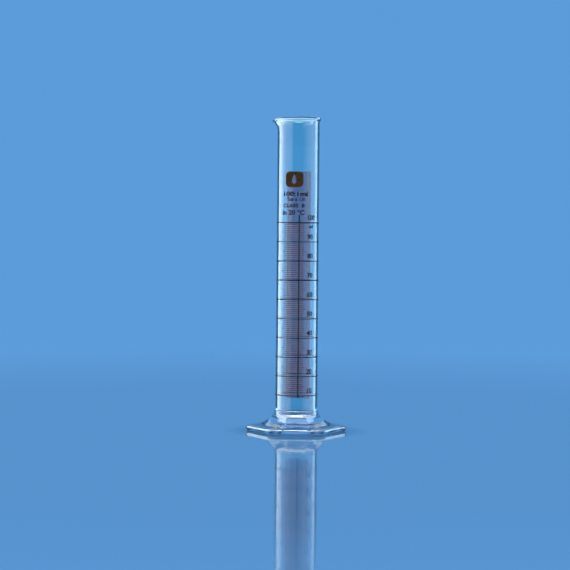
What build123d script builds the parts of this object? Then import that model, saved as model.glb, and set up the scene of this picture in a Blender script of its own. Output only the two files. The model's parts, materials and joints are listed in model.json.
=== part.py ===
from build123d import *
import os
from math import acos, cos, degrees, pi, radians, sin, sqrt

# Glass measuring cylinder, 100 ml in 1 ml steps. Millimetres, +Z up, -Y faces the reader.
# The origin is the centre of the foot's underside.
# Angles around the tube start at the reader's side (-Y) and grow towards +X.

# Tube
overall_height = 240.0
bore_r = 14.75
wall = 1.55
tube_r = bore_r + wall
floor_z = 13.3
floor_corner_r = 2.5
seat_z = 9.3
seat_corner_r = 7.5

# Mouth
spout_start_z = 231.0
spout_mid_z = 235.0
spout_reach = 19.9
spout_mid_out = 1.35
spout_tip_r = 4.2
spout_wall = 1.2
lip_wall = 2.2
mouth_ease = 0.2
spout_root = 0.1  # the drawn part starts this much proud, so that its outline has a tip
bore_lag = 0.4  # the spout's inside starts this much higher than its outside
bead_height = 2.4
bead_out = 1.1
bead_tip = 0.3

# Foot
corner_to_corner = 76.8
foot_corner_r = 8.0
foot_edge_r = 2.0
foot_heel_r = 1.5
foot_lip_z = 16.5
foot_lip_r = tube_r + 0.6
flare = [(17.8, 13.2), (20.4, 10.2), (24.5, 7.1), (30.5, 5.2), (42.0, 4.0)]  # radius and height
flare_edge_z = (3.8, 6.0)  # between these heights the flare meets the hexagon's sides
recess_r = 25.0
recess_depth = 2.0
recess_bow = 0.75

# Graduation
capacity_ml = 100
mm_per_ml = 1000 / (pi * bore_r**2)
corner_loss = 0.18
ring_width = 0.60
line_width = 0.44
five_arc = (-45.0, 21.5)
one_arc = (-40.0, 16.5)

# Enamel
enamel = 0.08
cutter = 2 * overall_height  # longer than the whole cylinder
stamp_standoff = 0.3
letter_stamp = 1.0
badge_stamp = 3.0
numeral_height = 3.6
numeral_lift = 2.2
reading_angle = 175.4
stripe_half_angle = 37.0
stripe_bottom = 23.6
stripe_top = 199.7
core_top = 166.0
core_half_angle = 2.3
crossing_lap = 0.8
badge_angle = -11.0
badge_z = 192.5
badge_width = 13.9
badge_height = 11.9
badge_corner_r = 3.4
drop_top = (0, 4.3)
drop_side = (2.0, 0.6)
drop_foot = (0, -3.6)

# A plain stroke alphabet on a grid six units tall: each letter is its width and its strokes.
LETTERS = {
    "0": (4, [[(1, 0), (3, 0), (4, 1), (4, 5), (3, 6), (1, 6), (0, 5), (0, 1), (1, 0)]]),
    "1": (2, [[(0, 4.6), (1.6, 6), (1.6, 0)]]),
    "2": (4, [[(0, 5), (1, 6), (3, 6), (4, 5), (4, 3.8), (0, 0), (4, 0)]]),
    "3": (4, [[(0, 5.4), (1, 6), (3, 6), (4, 5), (4, 4), (3, 3.1), (1.6, 3.1)],
              [(3, 3.1), (4, 2.2), (4, 1), (3, 0), (1, 0), (0, 0.6)]]),
    "4": (4, [[(3.2, 0), (3.2, 6), (0, 1.6), (4, 1.6)]]),
    "5": (4, [[(3.8, 6), (0.4, 6), (0.2, 3.2), (2.8, 3.6), (4, 2.4), (4, 1.2), (2.8, 0), (0, 0.3)]]),
    "6": (4, [[(3.4, 6), (1.6, 5.2), (0, 2.6), (0, 1), (1, 0), (3, 0), (4, 1), (4, 2.5)],
              [(4, 2.5), (3, 3.5), (1.2, 3.5), (0, 2.6)]]),
    "7": (4, [[(0, 6), (4, 6), (1.4, 0)]]),
    "8": (4, [[(1, 3.2), (0, 4.2), (0, 5.1), (1, 6), (3, 6), (4, 5.1), (4, 4.2), (3, 3.2), (1, 3.2)],
              [(1, 3.2), (0, 2.2), (0, 1), (1, 0), (3, 0), (4, 1), (4, 2.2), (3, 3.2)]]),
    "9": (4, [[(0.6, 0), (2.4, 0.8), (4, 3.4), (4, 5), (3, 6), (1, 6), (0, 5), (0, 3.5)],
              [(0, 3.5), (1, 2.5), (2.8, 2.5), (4, 3.4)]]),
    ":": (0.6, [[(0.3, 0.2), (0.3, 0.5)], [(0.3, 3.4), (0.3, 3.7)]]),
    ".": (0.6, [[(0.3, 0), (0.3, 0.3)]]),
    "m": (4.6, [[(0, 0), (0, 4)],
                [(0, 3.2), (1, 4), (1.8, 4), (2.3, 3.3), (2.3, 0)],
                [(2.3, 3.2), (3.2, 4), (4, 4), (4.6, 3.3), (4.6, 0)]]),
    "l": (0.6, [[(0.3, 0), (0.3, 6)]]),
    "n": (2.8, [[(0, 0), (0, 4)], [(0, 3.2), (1, 4), (2.1, 4), (2.8, 3.3), (2.8, 0)]]),
    "o": (3, [[(0.9, 0), (2.1, 0), (3, 1), (3, 3), (2.1, 4), (0.9, 4), (0, 3), (0, 1), (0.9, 0)]]),
    "±": (3.4, [[(0, 3.6), (3.4, 3.6)], [(1.7, 1.9), (1.7, 5.3)], [(0, 0.3), (3.4, 0.3)]]),
    "°": (1.6, [[(0, 5.2), (0.8, 6), (1.6, 5.2), (0.8, 4.4), (0, 5.2)]]),
    "T": (4, [[(0, 6), (4, 6)], [(2, 6), (2, 0)]]),
    "I": (0.6, [[(0.3, 0), (0.3, 6)]]),
    "C": (4, [[(4, 5), (3, 6), (1, 6), (0, 5), (0, 1), (1, 0), (3, 0), (4, 1)]]),
    "L": (3.4, [[(0, 6), (0, 0), (3.4, 0)]]),
    "A": (4.4, [[(0, 0), (2.2, 6), (4.4, 0)], [(0.9, 2), (3.5, 2)]]),
    "S": (4, [[(4, 5), (3, 6), (1, 6), (0, 5), (0, 4.2), (4, 1.8), (4, 1), (3, 0), (1, 0), (0, 1)]]),
    "B": (4, [[(0, 3.2), (0, 6), (2.8, 6), (3.7, 5.2), (3.7, 4), (2.8, 3.2), (0, 3.2)],
              [(0, 3.2), (0, 0), (3, 0), (4, 1), (4, 2.3), (2.8, 3.2)]]),
    " ": (2, []),
}
LETTER_GAP = 1.3


def level(volume_ml):
    """Height of the filling line for a volume."""
    return floor_z + corner_loss + volume_ml * mm_per_ml


def wall_plane(angle, z, standoff):
    """Plane facing outwards at an angle around the tube, its X to the right and its Y up."""
    a = radians(angle)
    r = tube_r + standoff
    return Plane(origin=(r * sin(a), -r * cos(a), z), x_dir=(cos(a), sin(a), 0), z_dir=(sin(a), -cos(a), 0))


def radial_plane(angle):
    """Half-section plane through the tube's axis, its X outwards and its Y up."""
    a = radians(angle)
    return Plane(origin=(0, 0, 0), x_dir=(sin(a), -cos(a), 0), z_dir=(-cos(a), -sin(a), 0))


def text_width(text, cap_height):
    """Length of a line of lettering along the wall."""
    units = sum(LETTERS[c][0] for c in text) + LETTER_GAP * (len(text) - 1)
    return units * cap_height / 6


def letter_places(text, cap_height, centre_angle, base_z):
    """Where each letter of a line stands: its letter, its angle and its baseline."""
    places = []
    reach = -text_width(text, cap_height) / 2
    for c in text:
        width = LETTERS[c][0] * cap_height / 6
        angle = centre_angle + degrees((reach + width / 2) / tube_r)
        places.append((c, angle, base_z))
        reach += width + LETTER_GAP * cap_height / 6
    return [p for p in places if p[0] != " "]


def draw_letter(letter, cap_height, line):
    """Add one letter to the open sketch, centred left to right on its baseline."""
    width, strokes = LETTERS[letter]
    unit = cap_height / 6
    for points in strokes:
        for start, end in zip(points, points[1:]):
            x0 = (start[0] - width / 2) * unit
            x1 = (end[0] - width / 2) * unit
            y0 = start[1] * unit
            y1 = end[1] * unit
            length = ((x1 - x0) ** 2 + (y1 - y0) ** 2) ** 0.5
            turn = degrees(acos(max(-1.0, min(1.0, (x1 - x0) / length))))
            turn = turn if y1 >= y0 else -turn
            with Locations(((x0 + x1) / 2, (y0 + y1) / 2)):
                SlotCenterToCenter(length, line, rotation=turn)


def mouth_outline(radius, reach, tip_radius):
    """Outline of the tube drawn out to a spout on the -X side."""
    span = reach - tip_radius
    a = acos((radius - tip_radius) / span)
    tip_x = -span
    high = (-radius * cos(a), radius * sin(a))
    low = (-radius * cos(a), -radius * sin(a))
    tip_high = (tip_x - tip_radius * cos(a), tip_radius * sin(a))
    tip_low = (tip_x - tip_radius * cos(a), -tip_radius * sin(a))
    ThreePointArc(low, (radius, 0), high)
    Line(high, tip_high)
    ThreePointArc(tip_high, (tip_x - tip_radius, 0), tip_low)
    Line(tip_low, low)


# ---------------------------------------------------------------- tube

with BuildPart() as tube:
    with BuildSketch(Plane.XZ):
        with BuildLine():
            Polyline((0, seat_z), (tube_r - seat_corner_r, seat_z))
            RadiusArc((tube_r - seat_corner_r, seat_z), (tube_r, seat_z + seat_corner_r), -seat_corner_r)
            Line((tube_r, seat_z + seat_corner_r), (tube_r, spout_start_z))
            Polyline((tube_r, spout_start_z), (0, spout_start_z), (0, seat_z))
        make_face()
    revolve(axis=Axis.Z)
    # The wall is drawn out to the spout over the last centimetre.
    with BuildSketch(Plane.XY.offset(spout_start_z)):
        with BuildLine():
            mouth_outline(tube_r, tube_r + spout_root, spout_tip_r)
        make_face()
    with BuildSketch(Plane.XY.offset(spout_mid_z)):
        with BuildLine():
            mouth_outline(tube_r, tube_r + spout_mid_out, spout_tip_r)
        make_face()
    with BuildSketch(Plane.XY.offset(overall_height - bead_height / 2)):
        with BuildLine():
            mouth_outline(tube_r, spout_reach - 3 * bead_tip, spout_tip_r)
        make_face()
    loft()
    # Fire-polished bead around the mouth and the spout.
    with BuildSketch(Plane.XY.offset(overall_height - bead_height)):
        with BuildLine():
            mouth_outline(tube_r + bead_out, spout_reach, spout_tip_r + bead_tip)
        make_face()
    extrude(amount=bead_height)
    bead_edges = tube.edges().filter_by(lambda e: abs(e.center().Z - overall_height) < 0.01)
    fillet(bead_edges, radius=bead_height / 2 - 0.05)
    # Bore with its rounded floor.
    with BuildSketch(Plane.XZ):
        with BuildLine():
            Polyline((0, floor_z), (bore_r - floor_corner_r, floor_z))
            RadiusArc(
                (bore_r - floor_corner_r, floor_z), (bore_r, floor_z + floor_corner_r), -floor_corner_r
            )
            Line((bore_r, floor_z + floor_corner_r), (bore_r, overall_height))
            Polyline((bore_r, overall_height), (0, overall_height), (0, floor_z))
        make_face()
    revolve(axis=Axis.Z, mode=Mode.SUBTRACT)
    # Inside of the spout.
    with BuildSketch(Plane.XY.offset(spout_start_z + bore_lag)):
        with BuildLine():
            mouth_outline(bore_r, bore_r + spout_root, spout_tip_r - spout_wall)
        make_face()
    with BuildSketch(Plane.XY.offset(spout_mid_z + bore_lag - spout_root)):
        with BuildLine():
            mouth_outline(bore_r, bore_r + spout_mid_out - spout_root, spout_tip_r - spout_wall)
        make_face()
    with BuildSketch(Plane.XY.offset(overall_height)):
        with BuildLine():
            mouth_outline(bore_r + mouth_ease, spout_reach - lip_wall, spout_tip_r - spout_wall)
        make_face()
    loft(mode=Mode.SUBTRACT)

# ---------------------------------------------------------------- foot

with BuildPart() as foot:
    with BuildSketch() as hexagon:
        RegularPolygon(radius=corner_to_corner / 2 + (2 / sqrt(3) - 1) * foot_corner_r, side_count=6)
        fillet(hexagon.vertices(), radius=foot_corner_r)
    extrude(amount=foot_lip_z)
    # Concave flare from the hexagon's edge up to the tube.
    with BuildSketch(Plane.YZ):
        with BuildLine():
            Spline((foot_lip_r, foot_lip_z), *flare)
            Polyline(flare[-1], (flare[-1][0], 0), (0, 0), (0, foot_lip_z), (foot_lip_r, foot_lip_z))
        make_face()
    revolve(axis=Axis.Z, mode=Mode.INTERSECT)
    upper_edges = foot.edges().filter_by(
        lambda e: flare_edge_z[0] < e.bounding_box().min.Z and e.center().Z < flare_edge_z[1]
    )
    fillet(upper_edges, radius=foot_edge_r)
    lower_edges = foot.edges().filter_by(lambda e: e.bounding_box().max.Z < 0.01)
    fillet(lower_edges, radius=foot_heel_r)
    # Shallow dish underneath, so that the foot stands on its outer band.
    with BuildSketch(Plane.YZ):
        with BuildLine():
            Line((0, 0), (0, recess_depth))
            ThreePointArc((0, recess_depth), (recess_r / 2, recess_depth * recess_bow), (recess_r, 0))
            Line((recess_r, 0), (0, 0))
        make_face()
    revolve(axis=Axis.Z, mode=Mode.SUBTRACT)
    # Seat that the tube's closed end is fused into.
    with BuildSketch(Plane.YZ):
        with BuildLine():
            Line((0, seat_z), (tube_r - seat_corner_r, seat_z))
            RadiusArc((tube_r - seat_corner_r, seat_z), (tube_r, seat_z + seat_corner_r), -seat_corner_r)
            Line((tube_r, seat_z + seat_corner_r), (tube_r, 2 * foot_lip_z))
            Polyline((tube_r, 2 * foot_lip_z), (0, 2 * foot_lip_z), (0, seat_z))
        make_face()
    revolve(axis=Axis.Z, mode=Mode.SUBTRACT)

# ---------------------------------------------------------------- graduation

ten_levels = [level(v) for v in range(10, capacity_ml + 1, 10)]
five_levels = [level(v) for v in range(15, capacity_ml, 10)]
one_levels = [level(v) for v in range(11, capacity_ml) if v % 5]

# Each ring lies on the glass as far as the reading stripe, and crosses it on top.
over_half_angle = stripe_half_angle + crossing_lap
with BuildPart() as ring_marks:
    with BuildSketch(radial_plane(reading_angle + stripe_half_angle)):
        with Locations([(tube_r + enamel / 2, z) for z in ten_levels]):
            Rectangle(enamel, ring_width)
    revolve(axis=Axis.Z, revolution_arc=360 - 2 * stripe_half_angle)
    with BuildSketch(radial_plane(reading_angle - over_half_angle)):
        with Locations([(tube_r + 1.5 * enamel, z) for z in ten_levels]):
            Rectangle(enamel, ring_width)
    revolve(axis=Axis.Z, revolution_arc=2 * over_half_angle)

with BuildPart() as marks_5ml:
    with BuildSketch(radial_plane(five_arc[0])):
        with Locations([(tube_r + enamel / 2, z) for z in five_levels]):
            Rectangle(enamel, line_width)
    revolve(axis=Axis.Z, revolution_arc=five_arc[1] - five_arc[0])

with BuildPart() as marks_1ml:
    with BuildSketch(radial_plane(one_arc[0])):
        with Locations([(tube_r + enamel / 2, z) for z in one_levels]):
            Rectangle(enamel, line_width)
    revolve(axis=Axis.Z, revolution_arc=one_arc[1] - one_arc[0])

# ---------------------------------------------------------------- lettering

numeral_places = []
for volume in range(10, capacity_ml + 1, 10):
    centre = 37.5 if volume == capacity_ml else 35.0
    numeral_places += letter_places(str(volume), numeral_height, centre, level(volume) + numeral_lift)

# Each line of lettering: its letters' places, its cap height and its stroke width.
lines = {
    "numerals": (numeral_places, numeral_height, 0.42),
    "unit_label": (letter_places("ml", 2.6, 37.5, level(capacity_ml) - 4.1), 2.6, 0.36),
    "legend_capacity": (letter_places("100:1ml", 3.3, -9.0, 180.0), 3.3, 0.42),
    "legend_tolerance": (letter_places("Tol ±1.0", 2.6, -7.0, 176.2), 2.6, 0.34),
    "legend_class": (letter_places("CLASS B", 2.6, -12.5, 171.4), 2.6, 0.34),
    "legend_temperature": (letter_places("In 20 °C", 3.5, -13.8, 165.7), 3.5, 0.40),
}
printed = {}
for name, (places, cap_height, line) in lines.items():
    with BuildPart() as lettering:
        for letter, angle, base_z in places:
            with BuildSketch(wall_plane(angle, base_z, stamp_standoff)):
                draw_letter(letter, cap_height, line)
            extrude(amount=-letter_stamp)
        Cylinder(tube_r + enamel, cutter, mode=Mode.INTERSECT)
        Cylinder(tube_r, cutter, mode=Mode.SUBTRACT)
    printed[name] = lettering

# ---------------------------------------------------------------- badge

with BuildPart() as badge:
    with BuildSketch(wall_plane(badge_angle, badge_z, stamp_standoff)):
        RectangleRounded(badge_width, badge_height, badge_corner_r)
        # A plain drop is left clear in the middle.
        with BuildLine():
            Line(drop_top, (-drop_side[0], drop_side[1]))
            ThreePointArc((-drop_side[0], drop_side[1]), drop_foot, drop_side)
            Line(drop_side, drop_top)
        make_face(mode=Mode.SUBTRACT)
    extrude(amount=-badge_stamp)
    Cylinder(tube_r + enamel, cutter, mode=Mode.INTERSECT)
    Cylinder(tube_r, cutter, mode=Mode.SUBTRACT)

# ---------------------------------------------------------------- reading stripe

stripe_mid = (stripe_bottom + stripe_top) / 2
stripe_tall = stripe_top - stripe_bottom
core_mid = (stripe_bottom + core_top) / 2
core_tall = core_top - stripe_bottom

with BuildPart() as stripe_backing:
    with BuildSketch(radial_plane(reading_angle - stripe_half_angle)):
        with Locations((tube_r + enamel / 2, stripe_mid)):
            Rectangle(enamel, stripe_tall)
    revolve(axis=Axis.Z, revolution_arc=2 * stripe_half_angle)
    # The dark core lies on the glass, in a gap left in the backing.
    with BuildSketch(radial_plane(reading_angle - core_half_angle)):
        with Locations((tube_r + enamel / 2, core_mid)):
            Rectangle(3 * enamel, core_tall)
    revolve(axis=Axis.Z, revolution_arc=2 * core_half_angle, mode=Mode.SUBTRACT)

with BuildPart() as stripe_core:
    with BuildSketch(radial_plane(reading_angle - core_half_angle)):
        with Locations((tube_r + enamel / 2, core_mid)):
            Rectangle(enamel, core_tall)
    revolve(axis=Axis.Z, revolution_arc=2 * core_half_angle)

# ---------------------------------------------------------------- files

pieces = {
    "tube": tube,
    "foot": foot,
    "ring_marks_10ml": ring_marks,
    "marks_5ml": marks_5ml,
    "marks_1ml": marks_1ml,
    "badge": badge,
    "reading_stripe_backing": stripe_backing,
    "reading_stripe_core": stripe_core,
} | printed

os.makedirs("parts", exist_ok=True)
for name, piece in pieces.items():
    piece.part.label = name
    export_step(piece.part, f"parts/{name}.step")
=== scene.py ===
import json
import math

import bmesh
import bpy
from mathutils import Matrix, Vector, noise


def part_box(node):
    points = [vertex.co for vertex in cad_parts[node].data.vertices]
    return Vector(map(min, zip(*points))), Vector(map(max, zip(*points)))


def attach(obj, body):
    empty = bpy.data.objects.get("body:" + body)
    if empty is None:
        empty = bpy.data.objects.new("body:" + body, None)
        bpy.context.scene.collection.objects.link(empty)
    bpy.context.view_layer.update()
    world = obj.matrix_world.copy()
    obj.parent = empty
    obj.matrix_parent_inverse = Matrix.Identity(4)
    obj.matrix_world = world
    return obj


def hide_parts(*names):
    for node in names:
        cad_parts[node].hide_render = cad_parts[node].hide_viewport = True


# A glass measuring cylinder on a pale blue studio sweep. Metres, +Z up, the reader stands at -Y.
# Angles around the tube start at the reader's side (-Y) and grow towards +X.

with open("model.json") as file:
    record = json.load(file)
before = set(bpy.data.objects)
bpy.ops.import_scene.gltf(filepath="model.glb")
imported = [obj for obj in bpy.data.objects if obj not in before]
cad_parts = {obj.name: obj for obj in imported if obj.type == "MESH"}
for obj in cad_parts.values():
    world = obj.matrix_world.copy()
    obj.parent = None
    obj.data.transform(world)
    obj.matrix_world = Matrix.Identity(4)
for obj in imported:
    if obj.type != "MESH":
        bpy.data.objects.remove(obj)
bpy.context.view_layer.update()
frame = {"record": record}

MM = 0.001

# ---------------------------------------------------------------- sizes from the frame

tube_low, tube_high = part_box("tube")
_, foot_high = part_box("foot")
_, rings_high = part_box("ring_marks_10ml")
mounts = {m["name"]: m for m in frame["record"]["mounts"]}

ENAMEL = 0.08 * MM
BORE_R = mounts["bore"]["dims"]["r_mm"] * MM
TUBE_R = rings_high.x - ENAMEL
TOP_Z = tube_high.z
SEAT_Z = tube_low.z
FOOT_LIP_Z = foot_high.z
SPOUT_REACH = -tube_low.x
FLAT_HALF = foot_high.y
CORNER_HALF = foot_high.x

# Shape of the tube. Depths are below the rim's top.
FLOOR_Z = 13.3 * MM
FLOOR_CORNER = 2.5 * MM
SEAT_CORNER = 7.5 * MM
BEAD_OUT = 1.1 * MM
BEAD_DEPTH = 3.4 * MM
BEAD_TURN_DEPTH = 1.25 * MM
CROWN_IN = 0.15 * MM
MOUTH_EASE = 0.25 * MM
MOUTH_TURN_DEPTH = 1.1 * MM
MOUTH_DEPTH = 5 * MM
SPOUT_START_Z = 231.6 * MM
SPOUT_FULL_Z = 237.4 * MM
SPOUT_ANGLE = 1.5 * math.pi
SPOUT_HALF_ANGLE = math.radians(40)
SPOUT_SHARPNESS = 2.4
SPOUT_CURVE = 1.15
SPOUT_DROP = 1.4 * MM
TUBE_SIDES = 192

# Shape of the foot. FLARE gives radius and height of its upper face, in mm.
FOOT_CORNER = 8.0 * MM
FOOT_EDGE = 2.0 * MM
FOOT_HEEL = 1.5 * MM
FOOT_LIP_R = TUBE_R + 0.6 * MM
FOOT_SIDES = 480
SIXTH = math.pi / 3
LIP_STEEPNESS = 2.2
CORNER_LEAN = 0.8
TOP_WAVE = 0.16 * MM
TOP_WAVES_PER_METRE = 85
DISH_R = 25.0 * MM
DISH_DEPTH = 2.0 * MM
DISH_WAVE = 0.25 * MM
DISH_WAVES_PER_METRE = 70
FLARE = [(16.9, 16.5), (17.8, 13.2), (20.4, 10.2), (24.5, 7.1), (30.5, 5.2), (36.0, 4.6), (42.0, 4.0)]

# Scale and print
ML_RISE = 1000 / (math.pi * (BORE_R / MM) ** 2) * MM
ZERO_Z = FLOOR_Z + 0.18 * MM
RING_WIDTH = 0.60 * MM
LINE_WIDTH = 0.44 * MM
SINK = 0.02 * MM
RAGGED = 0.03 * MM
READING_ANGLE = math.radians(175.4)
STRIPE_HALF = math.radians(37)
CORE_HALF = math.radians(2.3)
BEND_STEP = 0.35 * MM


def lerp(a, b, t):
    return a + (b - a) * t


def smooth(t):
    t = max(0.0, min(1.0, t))
    return t * t * (3 - 2 * t)


def level(volume):
    """Height of the scale at a volume in ml."""
    return ZERO_Z + volume * ML_RISE


def parts(count):
    """The ends of count equal parts of 0 to 1."""
    return [i / count for i in range(1, count + 1)]


# ---------------------------------------------------------------- materials


def new_material(name):
    mat = bpy.data.materials.new(name)
    mat.use_nodes = True
    tree = mat.node_tree
    tree.nodes.clear()
    out = tree.nodes.new("ShaderNodeOutputMaterial")
    return mat, tree, out


def glass_material(name, tint_low, tint_high, wave_scale, wave_height, stretch):
    """Clear glass with faint colour drift, fine wipe marks and soft waves. A stretch below 1
    draws the pattern out along that axis."""
    mat, tree, out = new_material(name)
    nodes, links = tree.nodes, tree.links
    bsdf = nodes.new("ShaderNodeBsdfPrincipled")
    bsdf.inputs["IOR"].default_value = 1.473
    bsdf.inputs["Transmission Weight"].default_value = 1.0
    coord = nodes.new("ShaderNodeTexCoord")
    mapping = nodes.new("ShaderNodeMapping")
    mapping.inputs["Scale"].default_value = stretch
    links.new(coord.outputs["Object"], mapping.inputs["Vector"])
    drift = nodes.new("ShaderNodeTexNoise")
    drift.inputs["Scale"].default_value = 30
    drift.inputs["Detail"].default_value = 2
    links.new(mapping.outputs["Vector"], drift.inputs["Vector"])
    tint = nodes.new("ShaderNodeMix")
    tint.data_type = "RGBA"
    tint.inputs[6].default_value = (*tint_low, 1)
    tint.inputs[7].default_value = (*tint_high, 1)
    links.new(drift.outputs["Fac"], tint.inputs[0])
    links.new(tint.outputs[2], bsdf.inputs["Base Color"])
    wipe = nodes.new("ShaderNodeTexNoise")
    wipe.inputs["Scale"].default_value = 260
    wipe.inputs["Detail"].default_value = 4
    links.new(mapping.outputs["Vector"], wipe.inputs["Vector"])
    rough = nodes.new("ShaderNodeMapRange")
    rough.inputs["From Min"].default_value = 0.55
    rough.inputs["From Max"].default_value = 0.8
    rough.inputs["To Min"].default_value = 0.0
    rough.inputs["To Max"].default_value = 0.012
    links.new(wipe.outputs["Fac"], rough.inputs["Value"])
    links.new(rough.outputs["Result"], bsdf.inputs["Roughness"])
    waves = nodes.new("ShaderNodeTexNoise")
    waves.inputs["Scale"].default_value = wave_scale
    waves.inputs["Detail"].default_value = 1
    links.new(mapping.outputs["Vector"], waves.inputs["Vector"])
    bump = nodes.new("ShaderNodeBump")
    bump.inputs["Strength"].default_value = 1.0
    bump.inputs["Distance"].default_value = wave_height
    links.new(waves.outputs["Fac"], bump.inputs["Height"])
    links.new(bump.outputs["Normal"], bsdf.inputs["Normal"])
    links.new(bsdf.outputs["BSDF"], out.inputs["Surface"])
    return mat


def weld_material():
    """The fused joint inside the glass: light passes straight through."""
    mat, tree, out = new_material("fused_joint")
    clear = tree.nodes.new("ShaderNodeBsdfTransparent")
    tree.links.new(clear.outputs["BSDF"], out.inputs["Surface"])
    return mat


def enamel_material(name, dark, light, roughness, grain=900, cover=None):
    """Fired print: speckled colour, uneven gloss and a slightly grainy surface. cover is the
    range of how much a thin veil hides, and nothing shows through without it."""
    mat, tree, out = new_material(name)
    nodes, links = tree.nodes, tree.links
    bsdf = nodes.new("ShaderNodeBsdfPrincipled")
    bsdf.inputs["IOR"].default_value = 1.5
    bsdf.inputs["Specular IOR Level"].default_value = 0.15
    coord = nodes.new("ShaderNodeTexCoord")
    speck = nodes.new("ShaderNodeTexNoise")
    speck.inputs["Scale"].default_value = grain
    speck.inputs["Detail"].default_value = 3
    links.new(coord.outputs["Object"], speck.inputs["Vector"])
    tone = nodes.new("ShaderNodeValToRGB")
    tone.color_ramp.elements[0].position = 0.38
    tone.color_ramp.elements[0].color = (*dark, 1)
    tone.color_ramp.elements[1].position = 0.75
    tone.color_ramp.elements[1].color = (*light, 1)
    links.new(speck.outputs["Fac"], tone.inputs["Fac"])
    links.new(tone.outputs["Color"], bsdf.inputs["Base Color"])
    cloud = nodes.new("ShaderNodeTexNoise")
    cloud.inputs["Scale"].default_value = 180
    links.new(coord.outputs["Object"], cloud.inputs["Vector"])
    gloss = nodes.new("ShaderNodeMapRange")
    gloss.inputs["To Min"].default_value = roughness - 0.08
    gloss.inputs["To Max"].default_value = roughness + 0.12
    links.new(cloud.outputs["Fac"], gloss.inputs["Value"])
    links.new(gloss.outputs["Result"], bsdf.inputs["Roughness"])
    bump = nodes.new("ShaderNodeBump")
    bump.inputs["Strength"].default_value = 0.35
    bump.inputs["Distance"].default_value = 0.00002
    links.new(speck.outputs["Fac"], bump.inputs["Height"])
    links.new(bump.outputs["Normal"], bsdf.inputs["Normal"])
    if cover is None:
        links.new(bsdf.outputs["BSDF"], out.inputs["Surface"])
        return mat
    # light comes through a thin veil from behind, and part of the view too
    through = nodes.new("ShaderNodeBsdfTranslucent")
    links.new(tone.outputs["Color"], through.inputs["Color"])
    body = nodes.new("ShaderNodeMixShader")
    body.inputs["Fac"].default_value = 0.7
    links.new(bsdf.outputs["BSDF"], body.inputs[1])
    links.new(through.outputs["BSDF"], body.inputs[2])
    clear = nodes.new("ShaderNodeBsdfTransparent")
    density = nodes.new("ShaderNodeMapRange")
    density.inputs["To Min"].default_value = cover[0]
    density.inputs["To Max"].default_value = cover[1]
    links.new(cloud.outputs["Fac"], density.inputs["Value"])
    veil = nodes.new("ShaderNodeMixShader")
    links.new(density.outputs["Result"], veil.inputs["Fac"])
    links.new(clear.outputs["BSDF"], veil.inputs[1])
    links.new(body.outputs["Shader"], veil.inputs[2])
    links.new(veil.outputs["Shader"], out.inputs["Surface"])
    return mat


TUBE_GLASS = glass_material(
    "tube_glass", (0.68, 0.915, 0.915), (0.73, 0.935, 0.935),
    wave_scale=14, wave_height=0.004 * MM, stretch=(1, 1, 0.12),
)
FOOT_GLASS = glass_material(
    "foot_glass", (0.80, 0.94, 0.965), (0.85, 0.96, 0.98),
    wave_scale=90, wave_height=0.06 * MM, stretch=(1, 1, 1),
)
WELD = weld_material()
MARK_ENAMEL = enamel_material(
    "mark_enamel", (0.010, 0.007, 0.006), (0.026, 0.016, 0.013), roughness=0.50
)
LINE_ENAMEL = enamel_material(
    "line_enamel", (0.17, 0.055, 0.008), (0.27, 0.090, 0.014), roughness=0.55, grain=800
)
BADGE_ENAMEL = enamel_material(
    "badge_enamel", (0.070, 0.027, 0.004), (0.145, 0.055, 0.008), roughness=0.60, grain=700
)
STRIPE_ENAMEL = enamel_material(
    "stripe_enamel", (0.40, 0.135, 0.26), (0.49, 0.18, 0.34),
    roughness=0.55, grain=600, cover=(0.43, 0.50),
)
CORE_ENAMEL = enamel_material(
    "core_enamel", (0.016, 0.014, 0.022), (0.035, 0.03, 0.045), roughness=0.4
)


# ---------------------------------------------------------------- mesh helpers


pieces = {}


def finish_piece(name, bm, materials, replaced, smooth_shade=True):
    bmesh.ops.recalc_face_normals(bm, faces=bm.faces)
    mesh = bpy.data.meshes.new(name)
    bm.to_mesh(mesh)
    bm.free()
    for mat in materials:
        mesh.materials.append(mat)
    if smooth_shade:
        mesh.shade_smooth()
    obj = bpy.data.objects.new(name, mesh)
    bpy.context.scene.collection.objects.link(obj)
    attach(obj, "root")
    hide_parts(*replaced)
    pieces[name] = obj
    return obj


def on_wall(angle, r, z):
    return Vector((r * math.sin(angle), -r * math.cos(angle), z))


def lathe(bm, rows, count, start_pole=None, end_pole=None):
    """Skin between rings of points. rows is a list of (function of angle -> point, material)."""
    rings = []
    for place, _ in rows:
        rings.append([bm.verts.new(place(2 * math.pi * i / count)) for i in range(count)])
    for k in range(len(rows) - 1):
        for i in range(count):
            j = (i + 1) % count
            face = bm.faces.new((rings[k][i], rings[k][j], rings[k + 1][j], rings[k + 1][i]))
            face.material_index = rows[k + 1][1]
    for pole, ring, index in ((start_pole, rings[0], rows[0][1]), (end_pole, rings[-1], rows[-1][1])):
        if pole is None:
            continue
        tip = bm.verts.new(pole)
        for i in range(count):
            face = bm.faces.new((ring[i], ring[(i + 1) % count], tip))
            face.material_index = index


# ---------------------------------------------------------------- tube


def spout_bulge(angle):
    """How far a direction lies inside the spout: 1 at its middle, 0 outside it."""
    away = abs((angle - SPOUT_ANGLE + math.pi) % (2 * math.pi) - math.pi)
    if away >= SPOUT_HALF_ANGLE:
        return 0.0
    return math.cos(0.5 * math.pi * away / SPOUT_HALF_ANGLE) ** SPOUT_SHARPNESS


def tube_point(r, z):
    """A ring of the tube, drawn outwards and slightly down where it forms the spout."""
    t = max(0.0, (z - SPOUT_START_Z) / (SPOUT_FULL_Z - SPOUT_START_Z))
    push = (SPOUT_REACH - TUBE_R - BEAD_OUT) * min(1.0, t) ** SPOUT_CURVE
    drop = SPOUT_DROP * smooth((z - SPOUT_START_Z) / (TOP_Z - SPOUT_START_Z)) ** 2

    def place(angle):
        b = spout_bulge(angle)
        return on_wall(angle, r + push * b, z - drop * b)

    return place


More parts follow.
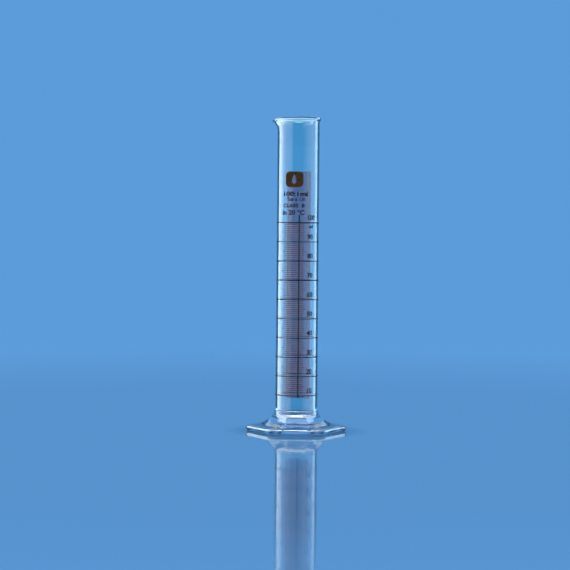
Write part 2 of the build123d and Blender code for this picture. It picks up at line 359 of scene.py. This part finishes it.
def tube_rows():
    """Radius, height and material of the tube's rings, from under its floor, up outside the wall,
    over the bead and down the bore."""
    rows = []

    def straight(r, z0, z1, count):
        rows.extend((r, lerp(z0, z1, t), 0) for t in parts(count))

    def quarter_turns(count):
        return [0.5 * math.pi * t for t in parts(count)]

    # closed end, fused into the foot
    for t in parts(6):
        rows.append((lerp(0, TUBE_R - SEAT_CORNER, t), SEAT_Z, 1))
    for a in quarter_turns(16):
        r = TUBE_R - SEAT_CORNER + SEAT_CORNER * math.sin(a)
        rows.append((r, SEAT_Z + SEAT_CORNER * (1 - math.cos(a)), 1))
    # outer wall
    bead_z = TOP_Z - BEAD_DEPTH
    straight(TUBE_R, SEAT_Z + SEAT_CORNER, SPOUT_START_Z, 24)
    straight(TUBE_R, SPOUT_START_Z, bead_z, 10)
    # bead: out, over the top and back to the bore
    turn_z = TOP_Z - BEAD_TURN_DEPTH
    for t in parts(8):
        rows.append((TUBE_R + BEAD_OUT * smooth(t), lerp(bead_z, turn_z, t), 0))
    crown_r = TUBE_R - CROWN_IN
    half = TUBE_R + BEAD_OUT - crown_r
    for a in quarter_turns(8):
        rows.append((crown_r + half * math.cos(a), turn_z + (TOP_Z - turn_z) * math.sin(a), 0))
    mouth_r = BORE_R + MOUTH_EASE
    mouth_z = TOP_Z - MOUTH_TURN_DEPTH
    for a in quarter_turns(8):
        r = crown_r - (crown_r - mouth_r) * math.sin(a)
        rows.append((r, mouth_z + (TOP_Z - mouth_z) * math.cos(a), 0))
    for t in parts(8):
        rows.append((lerp(mouth_r, BORE_R, smooth(t)), lerp(mouth_z, TOP_Z - MOUTH_DEPTH, t), 0))
    # bore and rounded floor
    straight(BORE_R, TOP_Z - MOUTH_DEPTH, SPOUT_START_Z, 10)
    straight(BORE_R, SPOUT_START_Z, FLOOR_Z + FLOOR_CORNER, 24)
    for a in quarter_turns(16):
        r = BORE_R - FLOOR_CORNER * (1 - math.cos(a))
        rows.append((r, FLOOR_Z + FLOOR_CORNER * (1 - math.sin(a)), 0))
    for t in parts(6)[:-1]:
        rows.append((lerp(BORE_R - FLOOR_CORNER, 0, t), FLOOR_Z, 0))
    return rows


def build_tube():
    bm = bmesh.new()
    rows = [(tube_point(r, z), index) for r, z, index in tube_rows()]
    lathe(bm, rows, TUBE_SIDES, (0, 0, SEAT_Z), (0, 0, FLOOR_Z))
    return finish_piece("tube_glass", bm, [TUBE_GLASS, WELD], ["tube"])


# ---------------------------------------------------------------- foot


def flare_height(r):
    """Height of the foot's upper face at a radius, through the flare's few points."""
    pts = [(a * MM, b * MM) for a, b in FLARE]
    slopes = []
    for i in range(len(pts)):
        lo = pts[max(0, i - 1)]
        hi = pts[min(len(pts) - 1, i + 1)]
        slopes.append((hi[1] - lo[1]) / (hi[0] - lo[0]))
    slopes[0] *= LIP_STEEPNESS
    for i in range(len(pts) - 1):
        x0, y0 = pts[i]
        x1, y1 = pts[i + 1]
        if r <= x1 or i == len(pts) - 2:
            h = x1 - x0
            t = max(0.0, min(1.0, (r - x0) / h))
            h00 = 2 * t ** 3 - 3 * t ** 2 + 1
            h10 = t ** 3 - 2 * t ** 2 + t
            h01 = -2 * t ** 3 + 3 * t ** 2
            h11 = t ** 3 - t ** 2
            return h00 * y0 + h10 * h * slopes[i] + h01 * y1 + h11 * h * slopes[i + 1]
    return pts[-1][1]


def hexagon_radius(angle):
    """Distance from the axis to the foot's edge, with rounded corners on +X and -X."""
    theta = angle - 0.5 * math.pi
    away = abs((theta + 0.5 * SIXTH) % SIXTH - 0.5 * SIXTH)
    centre = (FLAT_HALF - FOOT_CORNER) / math.cos(0.5 * SIXTH)
    tangent = math.atan2(FOOT_CORNER * 0.5, centre + FOOT_CORNER * math.cos(0.5 * SIXTH))
    if away < tangent:
        across = centre * math.sin(away)
        return centre * math.cos(away) + math.sqrt(FOOT_CORNER ** 2 - across ** 2)
    return FLAT_HALF / math.cos(0.5 * SIXTH - away)


def foot_top(angle, t):
    """Radius and height of the upper face, t from 0 at the lip to 1 at the edge's rounding."""
    edge = hexagon_radius(angle)
    r = lerp(FOOT_LIP_R, edge - FOOT_EDGE, t)
    outwards = smooth((r - 20 * MM) / (15 * MM))
    z = flare_height(lerp(r, r * CORNER_HALF / edge, CORNER_LEAN * outwards))
    p = on_wall(angle, r, 0)
    wave = TOP_WAVE * noise.noise(p * TOP_WAVES_PER_METRE)
    past_lip = smooth((r - 18 * MM) / (6 * MM))
    near_edge = smooth((t - 0.85) / 0.15)
    return r, z + wave * past_lip * (1 - 0.6 * near_edge)


def foot_rows():
    """The foot's rings with their materials: seat, upper face, edge, side, heel, sole and dish."""
    rows = []

    def ring(place, index=0):
        rows.append((lambda angle: on_wall(angle, *place(angle)), index))

    def seat(r, z):
        ring(lambda angle: (r, z), 1)

    def top(t):
        ring(lambda angle: foot_top(angle, t))

    def edge_round(a):
        def place(angle):
            r, z = foot_top(angle, 1)
            return r + FOOT_EDGE * math.sin(a), z - FOOT_EDGE * (1 - math.cos(a))
        ring(place)

    def side(t):
        def place(angle):
            _, z = foot_top(angle, 1)
            return hexagon_radius(angle), lerp(z - FOOT_EDGE, FOOT_HEEL, t)
        ring(place)

    def heel(a):
        def place(angle):
            r = hexagon_radius(angle) - FOOT_HEEL * (1 - math.cos(a))
            return r, FOOT_HEEL * (1 - math.sin(a))
        ring(place)

    def sole(t):
        ring(lambda angle: (lerp(hexagon_radius(angle) - FOOT_HEEL, DISH_R, t), 0))

    def dish(t):
        r = DISH_R * (1 - t)

        def place(angle):
            wave = noise.noise(on_wall(angle, r, 0.05) * DISH_WAVES_PER_METRE)
            wave *= DISH_WAVE * smooth(t / 0.3)
            return r, DISH_DEPTH * (1 - (r / DISH_R) ** 2) + max(0, wave)
        ring(place)

    for t in parts(6):
        seat(lerp(0, TUBE_R - SEAT_CORNER, t), SEAT_Z)
    arc_end = math.acos(1 - (FOOT_LIP_Z - SEAT_Z) / SEAT_CORNER)
    for t in parts(16):
        a = arc_end * t
        r = TUBE_R - SEAT_CORNER + SEAT_CORNER * math.sin(a)
        seat(r, SEAT_Z + SEAT_CORNER * (1 - math.cos(a)))
    ring(lambda angle: (lerp(TUBE_R, FOOT_LIP_R, 0.5), FOOT_LIP_Z))
    for t in [0.0] + parts(40):
        top(t ** 1.5)
    for t in parts(8):
        edge_round(0.5 * math.pi * t)
    for t in parts(4):
        side(t)
    for t in parts(5):
        heel(0.5 * math.pi * t)
    for t in parts(4):
        sole(t)
    for t in parts(16)[:-1]:
        dish(t)
    return rows


def build_foot():
    bm = bmesh.new()
    lathe(bm, foot_rows(), FOOT_SIDES, (0, 0, SEAT_Z), (0, 0, DISH_DEPTH))
    return finish_piece("foot_glass", bm, [FOOT_GLASS, WELD], ["foot"])


# ---------------------------------------------------------------- print


def arc_band(bm, heights, angles, r_in, r_out, closed=False, ragged=0.0):
    """A thin curved bar lying on the wall. r_in and r_out may depend on the angle."""
    count = max(2, int(abs(angles[1] - angles[0]) / math.radians(1.5)))
    sections = []
    for i in range(count + (0 if closed else 1)):
        a = lerp(*angles, i / count)
        low, high = (
            z + ragged * noise.noise(Vector((40 * a, z * 3000, row)))
            for z, row in zip(heights, (0, 7))
        )
        inner, outer = r_in(a), r_out(a)
        corners = ((inner, low), (outer, low), (outer, high), (inner, high))
        sections.append([bm.verts.new(on_wall(a, r, z)) for r, z in corners])
    pairs = list(zip(sections, sections[1:]))
    if closed:
        pairs.append((sections[-1], sections[0]))
    for left, right in pairs:
        for k in range(4):
            m = (k + 1) % 4
            bm.faces.new((left[k], right[k], right[m], left[m]))
    if not closed:
        bm.faces.new(sections[0])
        bm.faces.new(list(reversed(sections[-1])))


def print_inside(angle):
    return TUBE_R - SINK


def print_outside(angle):
    return TUBE_R + ENAMEL


def over_stripe(extra):
    """Radius of a ring that climbs over the reading stripe."""
    start, climb = STRIPE_HALF + math.radians(0.6), math.radians(1.5)

    def radius(angle):
        away = abs((angle - READING_ANGLE + math.pi) % (2 * math.pi) - math.pi)
        return TUBE_R + extra + ENAMEL * (1 - smooth((away - start) / climb))
    return radius


def build_scale():
    def heights(volume, width):
        return level(volume) - width / 2, level(volume) + width / 2

    bm = bmesh.new()
    for volume in range(10, 101, 10):
        arc_band(bm, heights(volume, RING_WIDTH), (0, 2 * math.pi), over_stripe(-SINK),
                 over_stripe(0.95 * ENAMEL), closed=True, ragged=RAGGED)
    finish_piece("rings_10ml", bm, [MARK_ENAMEL], ["ring_marks_10ml"], False)
    for name, node, volumes, ends in (
        ("lines_5ml", "marks_5ml", range(15, 100, 10), (-45.0, 21.5)),
        ("lines_1ml", "marks_1ml", [v for v in range(11, 100) if v % 5], (-40.0, 16.5)),
    ):
        bm = bmesh.new()
        angles = [math.radians(end) for end in ends]
        for volume in volumes:
            arc_band(bm, heights(volume, LINE_WIDTH), angles, print_inside, print_outside,
                     ragged=RAGGED)
        finish_piece(name, bm, [LINE_ENAMEL], [node], False)


def build_stripe():
    """The veil on both sides of its core and above it, and the core."""
    low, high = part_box("reading_stripe_backing")
    core_low, core_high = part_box("reading_stripe_core")
    left, right = READING_ANGLE - STRIPE_HALF, READING_ANGLE + STRIPE_HALF
    core_left, core_right = READING_ANGLE - CORE_HALF, READING_ANGLE + CORE_HALF
    bm = bmesh.new()
    for heights, angles in (
        ((low.z, high.z), (left, core_left)),
        ((low.z, high.z), (core_right, right)),
        ((core_high.z, high.z), (core_left, core_right)),
    ):
        arc_band(bm, heights, angles, print_inside, print_outside)
    bmesh.ops.remove_doubles(bm, verts=bm.verts, dist=1e-7)
    finish_piece("stripe_backing", bm, [STRIPE_ENAMEL],
                 ["reading_stripe_backing"], False)
    bm = bmesh.new()
    arc_band(bm, (core_low.z, core_high.z), (core_left, core_right), print_inside, print_outside)
    finish_piece("stripe_core", bm, [CORE_ENAMEL], ["reading_stripe_core"], False)


def wrap_flat(bm, flat_mesh, angle, z):
    """Bend flat artwork (x to the right, y up, in metres) on to the wall and give it its thickness."""
    art = bmesh.new()
    art.from_mesh(flat_mesh)
    xs = [v.co.x for v in art.verts]
    x = min(xs) + BEND_STEP
    while x < max(xs):
        geom = art.verts[:] + art.edges[:] + art.faces[:]
        bmesh.ops.bisect_plane(art, geom=geom, plane_co=(x, 0, 0), plane_no=(1, 0, 0))
        x += BEND_STEP
    result = bmesh.ops.extrude_face_region(art, geom=art.faces[:])
    raised = {v for v in result["geom"] if isinstance(v, bmesh.types.BMVert)}
    for v in art.verts:
        r = TUBE_R + ENAMEL if v in raised else TUBE_R - SINK
        v.co = on_wall(angle + v.co.x / TUBE_R, r, z + v.co.y)
    bmesh.ops.recalc_face_normals(art, faces=art.faces)
    wrapped = bpy.data.meshes.new("wrapped")
    art.to_mesh(wrapped)
    art.free()
    bm.from_mesh(wrapped)
    bpy.data.meshes.remove(wrapped)


def curve_mesh(curve):
    obj = bpy.data.objects.new("artwork", curve)
    bpy.context.scene.collection.objects.link(obj)
    bpy.context.view_layer.update()
    mesh = bpy.data.meshes.new_from_object(obj.evaluated_get(bpy.context.evaluated_depsgraph_get()))
    bpy.data.objects.remove(obj)
    return mesh


def text_mesh(words, cap_height, weight, width=None):
    """Flat lettering centred on x, standing on y = 0, with the asked height of capitals. weight
    thickens its strokes before it is scaled."""
    def typeset(text, size):
        curve = bpy.data.curves.new("words", "FONT")
        curve.body = text
        curve.size = size
        curve.align_x = "CENTER"
        curve.resolution_u = 3
        curve.offset = weight
        mesh = curve_mesh(curve)
        bpy.data.curves.remove(curve)
        return mesh

    def span(mesh, axis):
        values = [v.co[axis] for v in mesh.vertices]
        return max(values) - min(values)

    trial_size = 10 * MM
    probe = typeset("H", trial_size)
    tall = span(probe, 1)
    bpy.data.meshes.remove(probe)
    mesh = typeset(words, trial_size * cap_height / tall)
    if width:
        stretch = width / span(mesh, 0)
        for v in mesh.vertices:
            v.co.x *= stretch
    return mesh


def printed(name, node, items):
    """A piece of lettering. Each item gives its words, the height of its capitals, its weight and
    its width in mm, then the angle of its middle in degrees and the height of its foot in mm."""
    bm = bmesh.new()
    for words, cap, weight, width, angle, z in items:
        flat = text_mesh(words, cap * MM, weight * MM, width and width * MM)
        wrap_flat(bm, flat, math.radians(angle), z * MM)
        bpy.data.meshes.remove(flat)
    finish_piece(name, bm, [MARK_ENAMEL], [node], False)


def build_lettering():
    numerals = []
    for volume in range(10, 101, 10):
        angle = 37.5 if volume == 100 else 35.0
        numerals.append((str(volume), 3.6, 0.12, None, angle, level(volume) / MM + 2.2))
    printed("numerals_print", "numerals", numerals)
    for name, node, item in (
        ("unit_print", "unit_label", ("ml", 2.6, 0.08, None, 37.5, level(100) / MM - 4.1)),
        ("capacity_print", "legend_capacity", ("100:1ml", 3.3, 0.17, 19.1, -9.0, 180.0)),
        ("tolerance_print", "legend_tolerance", ("Tol ± 1.0", 2.6, 0.11, 14.2, -7.0, 176.2)),
        ("class_print", "legend_class", ("CLASS  B", 2.6, 0.11, 17.5, -12.5, 171.4)),
        ("temperature_print", "legend_temperature", ("In 20 °C", 3.5, 0.14, 17.4, -13.8, 165.7)),
    ):
        printed(name, node, [item])


def outline(curve, points):
    spline = curve.splines.new("POLY")
    spline.points.add(len(points) - 1)
    for p, (x, y) in zip(spline.points, points):
        p.co = (x, y, 0, 1)
    spline.use_cyclic_u = True


def build_badge():
    """A rounded patch with a drop left clear in it."""
    half_w, half_h, corner = 6.95 * MM, 5.95 * MM, 3.4 * MM
    drop_w, drop_h, drop_up = 2.1 * MM, 3.7 * MM, 0.3 * MM
    badge_angle, badge_z = math.radians(-11.0), 192.5 * MM
    patch = []
    for k, (sx, sy) in enumerate(((1, 1), (-1, 1), (-1, -1), (1, -1))):
        for i in range(13):
            a = 0.5 * math.pi * (k + i / 12)
            cx, cy = sx * (half_w - corner), sy * (half_h - corner)
            patch.append((cx + corner * math.cos(a), cy + corner * math.sin(a)))
    drop = []
    for i in range(40):
        a = 2 * math.pi * i / 40
        x = drop_w * math.sin(a) * math.sin(0.5 * a) ** 1.2
        drop.append((x, drop_up + drop_h * math.cos(a)))
    curve = bpy.data.curves.new("badge_outline", "CURVE")
    curve.dimensions = "2D"
    curve.fill_mode = "BOTH"
    outline(curve, patch)
    outline(curve, drop)
    bm = bmesh.new()
    wrap_flat(bm, curve_mesh(curve), badge_angle, badge_z)
    finish_piece("badge_print", bm, [BADGE_ENAMEL], ["badge"], False)


build_tube()
build_foot()
build_scale()
build_stripe()
build_lettering()
build_badge()

# ---------------------------------------------------------------- studio

# Azimuths are in degrees around the object: 0 is straight behind it, and 90 is at +X.
BACKDROP = (0.112, 0.335, 0.690)
DARK = tuple(0.16 * c for c in BACKDROP)

# How bright each side wall is from azimuth to azimuth.
WALL_STEP = 4.5
LEFT_WALL = [
    (58.5, 0), (64.5, 8.5), (87.5, 8.5), (94, 5.4), (102, 4.0), (110.5, 3.3), (122.5, 2.6),
    (139.5, 2.3), (148, 1.4), (155, 0),
]
RIGHT_WALL = [
    (60, 0), (64.5, 8.0), (80, 8.0), (87, 3.0), (106, 2.2), (118, 1.9), (130, 1.5), (139.5, 1.0),
    (151.5, 0.4), (155.5, 0),
]
LEFT_TINT = (0.86, 1.0, 1.0)
RIGHT_TINT = (0.56, 0.80, 1.0)
FOOT_WALL = [(74, 4.0), (120, 10.0), (155, 22.0), (180, 34.0), (205, 22.0), (240, 10.0), (286, 4.0)]

# How bright each level card is from radius to radius.
RIM_SHELF = [(0.06, 0.3), (0.45, 0.3), (0.60, 0.9)]
FOOT_SHELF = [(0.06, 1.0), (0.12, 1.0), (0.16, 1.5), (0.30, 1.5), (0.36, 1.1), (0.9, 1.1)]
FOOT_SHELF_TINT = (0.150, 0.262, 0.552)
RIM_LENS = (0.9, 1.05, 1.2)
RIM_SPARK = (9.0, 9.0, 9.0)


def map_range(tree, value, from_low, from_high, to_low, to_high):
    node = tree.nodes.new("ShaderNodeMapRange")
    node.inputs["From Min"].default_value = from_low
    node.inputs["From Max"].default_value = from_high
    node.inputs["To Min"].default_value = to_low
    node.inputs["To Max"].default_value = to_high
    tree.links.new(value, node.inputs["Value"])
    return node


def sweep_material():
    """Pale blue paper that gives off its own even glow, with a painted shadow under the object where
    that glow is dimmed near its axis, and a gloss around it.
    """
    mat, tree, out = new_material("studio_sweep")
    nodes, links = tree.nodes, tree.links
    coord = nodes.new("ShaderNodeTexCoord")
    away = nodes.new("ShaderNodeVectorMath")
    away.operation = "LENGTH"
    links.new(coord.outputs["Object"], away.inputs[0])
    # painted shadow: the paper's glow is dimmed within a few centimetres of the object's axis,
    # standing in for its contact shadow
    painted_contact_shadow = map_range(tree, away.outputs["Value"], 0.028, 0.062, 0.36, 0.95)
    painted_contact_shadow.interpolation_type = "SMOOTHERSTEP"
    glow = nodes.new("ShaderNodeEmission")
    glow.inputs["Color"].default_value = (*BACKDROP, 1)
    links.new(painted_contact_shadow.outputs["Result"], glow.inputs["Strength"])
    matte = nodes.new("ShaderNodeBsdfDiffuse")
    matte.inputs["Color"].default_value = (*(0.10 * c for c in BACKDROP), 1)
    paper = nodes.new("ShaderNodeAddShader")
    links.new(glow.outputs["Emission"], paper.inputs[0])
    links.new(matte.outputs["BSDF"], paper.inputs[1])
    gloss = nodes.new("ShaderNodeBsdfGlossy")
    gloss.inputs["Roughness"].default_value = 0.06
    grazing = nodes.new("ShaderNodeFresnel")
    grazing.inputs["IOR"].default_value = 1.2
    near = map_range(tree, away.outputs["Value"], 0.4, 1.0, 0.65, 0.0)
    share = nodes.new("ShaderNodeMath")
    share.operation = "MULTIPLY"
    links.new(grazing.outputs["Fac"], share.inputs[0])
    links.new(near.outputs["Result"], share.inputs[1])
    top = nodes.new("ShaderNodeMixShader")
    links.new(share.outputs["Value"], top.inputs["Fac"])
    links.new(paper.outputs["Shader"], top.inputs[1])
    links.new(gloss.outputs["BSDF"], top.inputs[2])
    links.new(top.outputs["Shader"], out.inputs["Surface"])
    return mat


def stage_mesh(name, bm, mat):
    mesh = bpy.data.meshes.new(name)
    bm.to_mesh(mesh)
    bm.free()
    mesh.materials.append(mat)
    obj = bpy.data.objects.new(name, mesh)
    bpy.context.scene.collection.objects.link(obj)
    return obj


def build_sweep():
    """A round floor that curves up into a wall on every side."""
    floor_r, bend, height = 1.7, 1.2, 2.4
    profile = [(floor_r * t, 0) for t in parts(12)]
    for t in parts(16):
        a = 0.5 * math.pi * t
        profile.append((floor_r + bend * math.sin(a), bend * (1 - math.cos(a))))
    profile.append((floor_r + bend, height))
    rows = [((lambda angle, r=r, z=z: on_wall(angle, r, z)), 0) for r, z in profile]
    bm = bmesh.new()
    lathe(bm, rows, 96, (0, 0, 0))
    bmesh.ops.recalc_face_normals(bm, faces=bm.faces)
    stage_mesh("studio_sweep", bm, sweep_material()).data.shade_smooth()


def interpolate(points, x):
    """Height at x of the line through points, which are in order of their first number."""
    if x <= points[0][0]:
        return points[0][1]
    for (x0, y0), (x1, y1) in zip(points, points[1:]):
        if x <= x1:
            return lerp(y0, y1, (x - x0) / (x1 - x0))
    return points[-1][1]


def steps(low, high, size):
    count = max(2, round(abs(high - low) / size))
    return [lerp(low, high, i / count) for i in range(count + 1)]


def at(azimuth, radius, z):
    """A point in the studio."""
    return on_wall(math.radians(180 - azimuth), radius, z)


def card(name, columns, stride=1, shine=True, through=True, only_on=None):
    """A card that gives off its own light. columns is a list of rows of (point, light) along it.
    With a stride of 2 every two points make a slat of their own. shine says whether it is seen in
    the shine of things, and through whether it is seen through glass."""
    bm = bmesh.new()
    layer = bm.verts.layers.float_color.new("glow")
    made = []
    for column in columns:
        verts = []
        for point, light in column:
            verts.append(bm.verts.new(point))
            verts[-1][layer] = (*light, 1)
        made.append(verts)
    for low, high in zip(made, made[1:]):
        for i in range(0, len(low) - 1, stride):
            bm.faces.new((low[i], high[i], high[i + 1], low[i + 1]))
    mat, tree, out = new_material(name)
    colour = tree.nodes.new("ShaderNodeAttribute")
    colour.attribute_name = "glow"
    emission = tree.nodes.new("ShaderNodeEmission")
    tree.links.new(colour.outputs["Color"], emission.inputs["Color"])
    tree.links.new(emission.outputs["Emission"], out.inputs["Surface"])
    obj = stage_mesh(name, bm, mat)
    obj.visible_camera = False
    obj.visible_diffuse = False
    obj.visible_shadow = False
    obj.visible_glossy = shine
    obj.visible_transmission = through
    if only_on:
        obj.light_linking.receiver_collection = only_on


def upright_card(name, azimuths, radius, heights, glow, **kwargs):
    """A curved card around the object. glow gives the light that it sends out at an azimuth."""
    columns = []
    for azimuth in steps(*azimuths, 2):
        columns.append([(at(azimuth, radius, z), glow(azimuth)) for z in heights])
    card(name, columns, **kwargs)


def shelf_card(name, z, profile, tint):
    """A level card behind the object at the camera's height, seen only through rim or foot."""
    columns = []
    for azimuth in steps(-74, 74, 4):
        column = []
        for radius, strength in profile:
            column.append((at(azimuth, radius, z), [strength * t for t in tint]))
        columns.append(column)
    card(name, columns, shine=False)


def dark_blind(name, side):
    """Seen only through glass, where it draws the dark line along an edge of the tube. Its slats
    fall away from the tube, each at its own slope, so that they are edge on to a view from 25
    degrees above, which looks between them."""
    radius, depth, pitch = 0.045, 0.006, 0.0018
    low_z, high_z = 0.0174, 0.40
    eye_z, eye_distance, least_fall = 0.461, 0.777, 0.28
    columns = []
    for azimuth in steps(side * 35, side * 63, 2):
        column = []
        for z in steps(low_z, high_z, pitch):
            fall = max(least_fall, (eye_z - z) / eye_distance)
            column.append((at(azimuth, radius, z), DARK))
            column.append((at(azimuth, radius + depth, z - fall * depth), DARK))
        columns.append(column)
    card(name, columns, stride=2, shine=False)


def softbox(name, azimuth, distance, height, size, radiance, colour=(1, 1, 1), aim=0.12,
            gloss=True, matte=True, only_on=None):
    """A rectangular light aimed at the object's axis at the height aim. Its radiance is what the
    object sees. gloss and matte say what kind of surface it lights."""
    width, tall = size
    light = bpy.data.lights.new(name, "AREA")
    light.shape = "RECTANGLE"
    light.size = width
    light.size_y = tall
    light.color = colour
    light.energy = radiance * math.pi * width * tall
    obj = bpy.data.objects.new(name, light)
    place = at(azimuth, distance, height)
    look = Vector((0, 0, aim)) - place
    turn = look.to_track_quat("-Z", "Y").to_matrix().to_4x4()
    obj.matrix_world = Matrix.Translation(place) @ turn
    obj.visible_camera = False
    obj.visible_glossy = gloss
    obj.visible_diffuse = matte
    obj.visible_transmission = False
    obj.light_linking.receiver_collection = only_on
    bpy.context.scene.collection.objects.link(obj)


def light_wall(hand, side, profile, tint):
    """Upright soft boxes in a curve beside the object, seen only in the shine of its glass. They
    have the tint behind the object and are white beside and before it."""
    radius, tall = 0.12, 0.30
    marks = steps(profile[0][0], profile[-1][0], WALL_STEP)
    width = radius * math.radians(marks[1] - marks[0])
    for low, high in zip(marks, marks[1:]):
        middle = (low + high) / 2
        white = smooth((middle - 83) / 12)
        softbox(
            f"wall_{hand}_{round(middle)}", side * middle, radius, tall / 2, (width, tall),
            interpolate(profile, middle), [lerp(t, 1.0, white) for t in tint],
            aim=tall / 2, matte=False, only_on=glass_pieces,
        )


def group(name, members):
    """The pieces that a light is kept to."""
    collection = bpy.data.collections.new(name)
    for member in members:
        collection.objects.link(pieces[member])
    return collection


build_sweep()
GLASS = ("tube_glass", "foot_glass")
glass_pieces = group("glass_pieces", GLASS)
tube_piece = group("tube_piece", ["tube_glass"])
foot_piece = group("foot_piece", ["foot_glass"])
print_pieces = group("print_pieces", [name for name in pieces if name not in GLASS])

dark_blind("dark_blind_left", -1)
dark_blind("dark_blind_right", 1)
light_wall("left", -1, LEFT_WALL, LEFT_TINT)
light_wall("right", 1, RIGHT_WALL, RIGHT_TINT)
for side, hand in ((-1, "left"), (1, "right")):
    softbox(f"key_{hand}", side * 125, distance=1.4, height=0.7, size=(1.0, 1.4), radiance=2.1,
            gloss=False, only_on=print_pieces)
softbox("key_back", 0, distance=1.4, height=0.9, size=(1.2, 1.0), radiance=10.0,
        gloss=False, only_on=print_pieces)
upright_card("foot_wall", (74, 286), radius=0.30, heights=(0.235, 0.64),
             glow=lambda azimuth: [interpolate(FOOT_WALL, azimuth)] * 3,
             through=False, only_on=foot_piece)
# What the rim sees below itself and what the foot sees above itself.
shelf_card("rim_shelf", 0.1445, RIM_SHELF, BACKDROP)
shelf_card("foot_shelf", 0.1435, FOOT_SHELF, FOOT_SHELF_TINT)
upright_card("rim_lens", (-9, 9), radius=0.30, heights=(0.305, 0.345),
             glow=lambda azimuth: RIM_LENS, shine=False)
upright_card("rim_spark", (40, 58), radius=0.12, heights=(0.262, 0.32),
             glow=lambda azimuth: RIM_SPARK, through=False, only_on=tube_piece)
softbox("front_high", 180, distance=1.3, height=1.2, size=(1.8, 1.0), radiance=10.0,
        matte=False, only_on=tube_piece)
softbox("back_high", 0, distance=1.3, height=0.95, size=(1.6, 0.6), radiance=1.3,
        matte=False, only_on=glass_pieces)
softbox("overhead", 0, distance=0.05, height=1.9, size=(1.5, 1.5), radiance=2.2)

world = bpy.data.worlds.new("studio_air")
bpy.context.scene.world = world
world.use_nodes = True
air = world.node_tree.nodes["Background"]
air.inputs["Color"].default_value = (*BACKDROP, 1)
air.inputs["Strength"].default_value = 0.5

# ---------------------------------------------------------------- camera

CAMERA_X = -0.00946
CAMERA_PLACE = Vector((CAMERA_X, -1.300, 0.144))
LOOK_AT = Vector((CAMERA_X, 0, 0.112))
CAMERA_ROLL = math.radians(0.485)

camera_data = bpy.data.cameras.new("camera")
camera_data.lens = 107
camera_data.sensor_width = 36
camera_data.clip_start = 0.05
camera = bpy.data.objects.new("camera", camera_data)
turn = (LOOK_AT - CAMERA_PLACE).to_track_quat("-Z", "Y").to_matrix().to_4x4()
roll = Matrix.Rotation(CAMERA_ROLL, 4, "Z")
camera.matrix_world = Matrix.Translation(CAMERA_PLACE) @ turn @ roll
bpy.context.scene.collection.objects.link(camera)
bpy.context.scene.camera = camera
bpy.context.scene.view_settings.view_transform = "Standard"
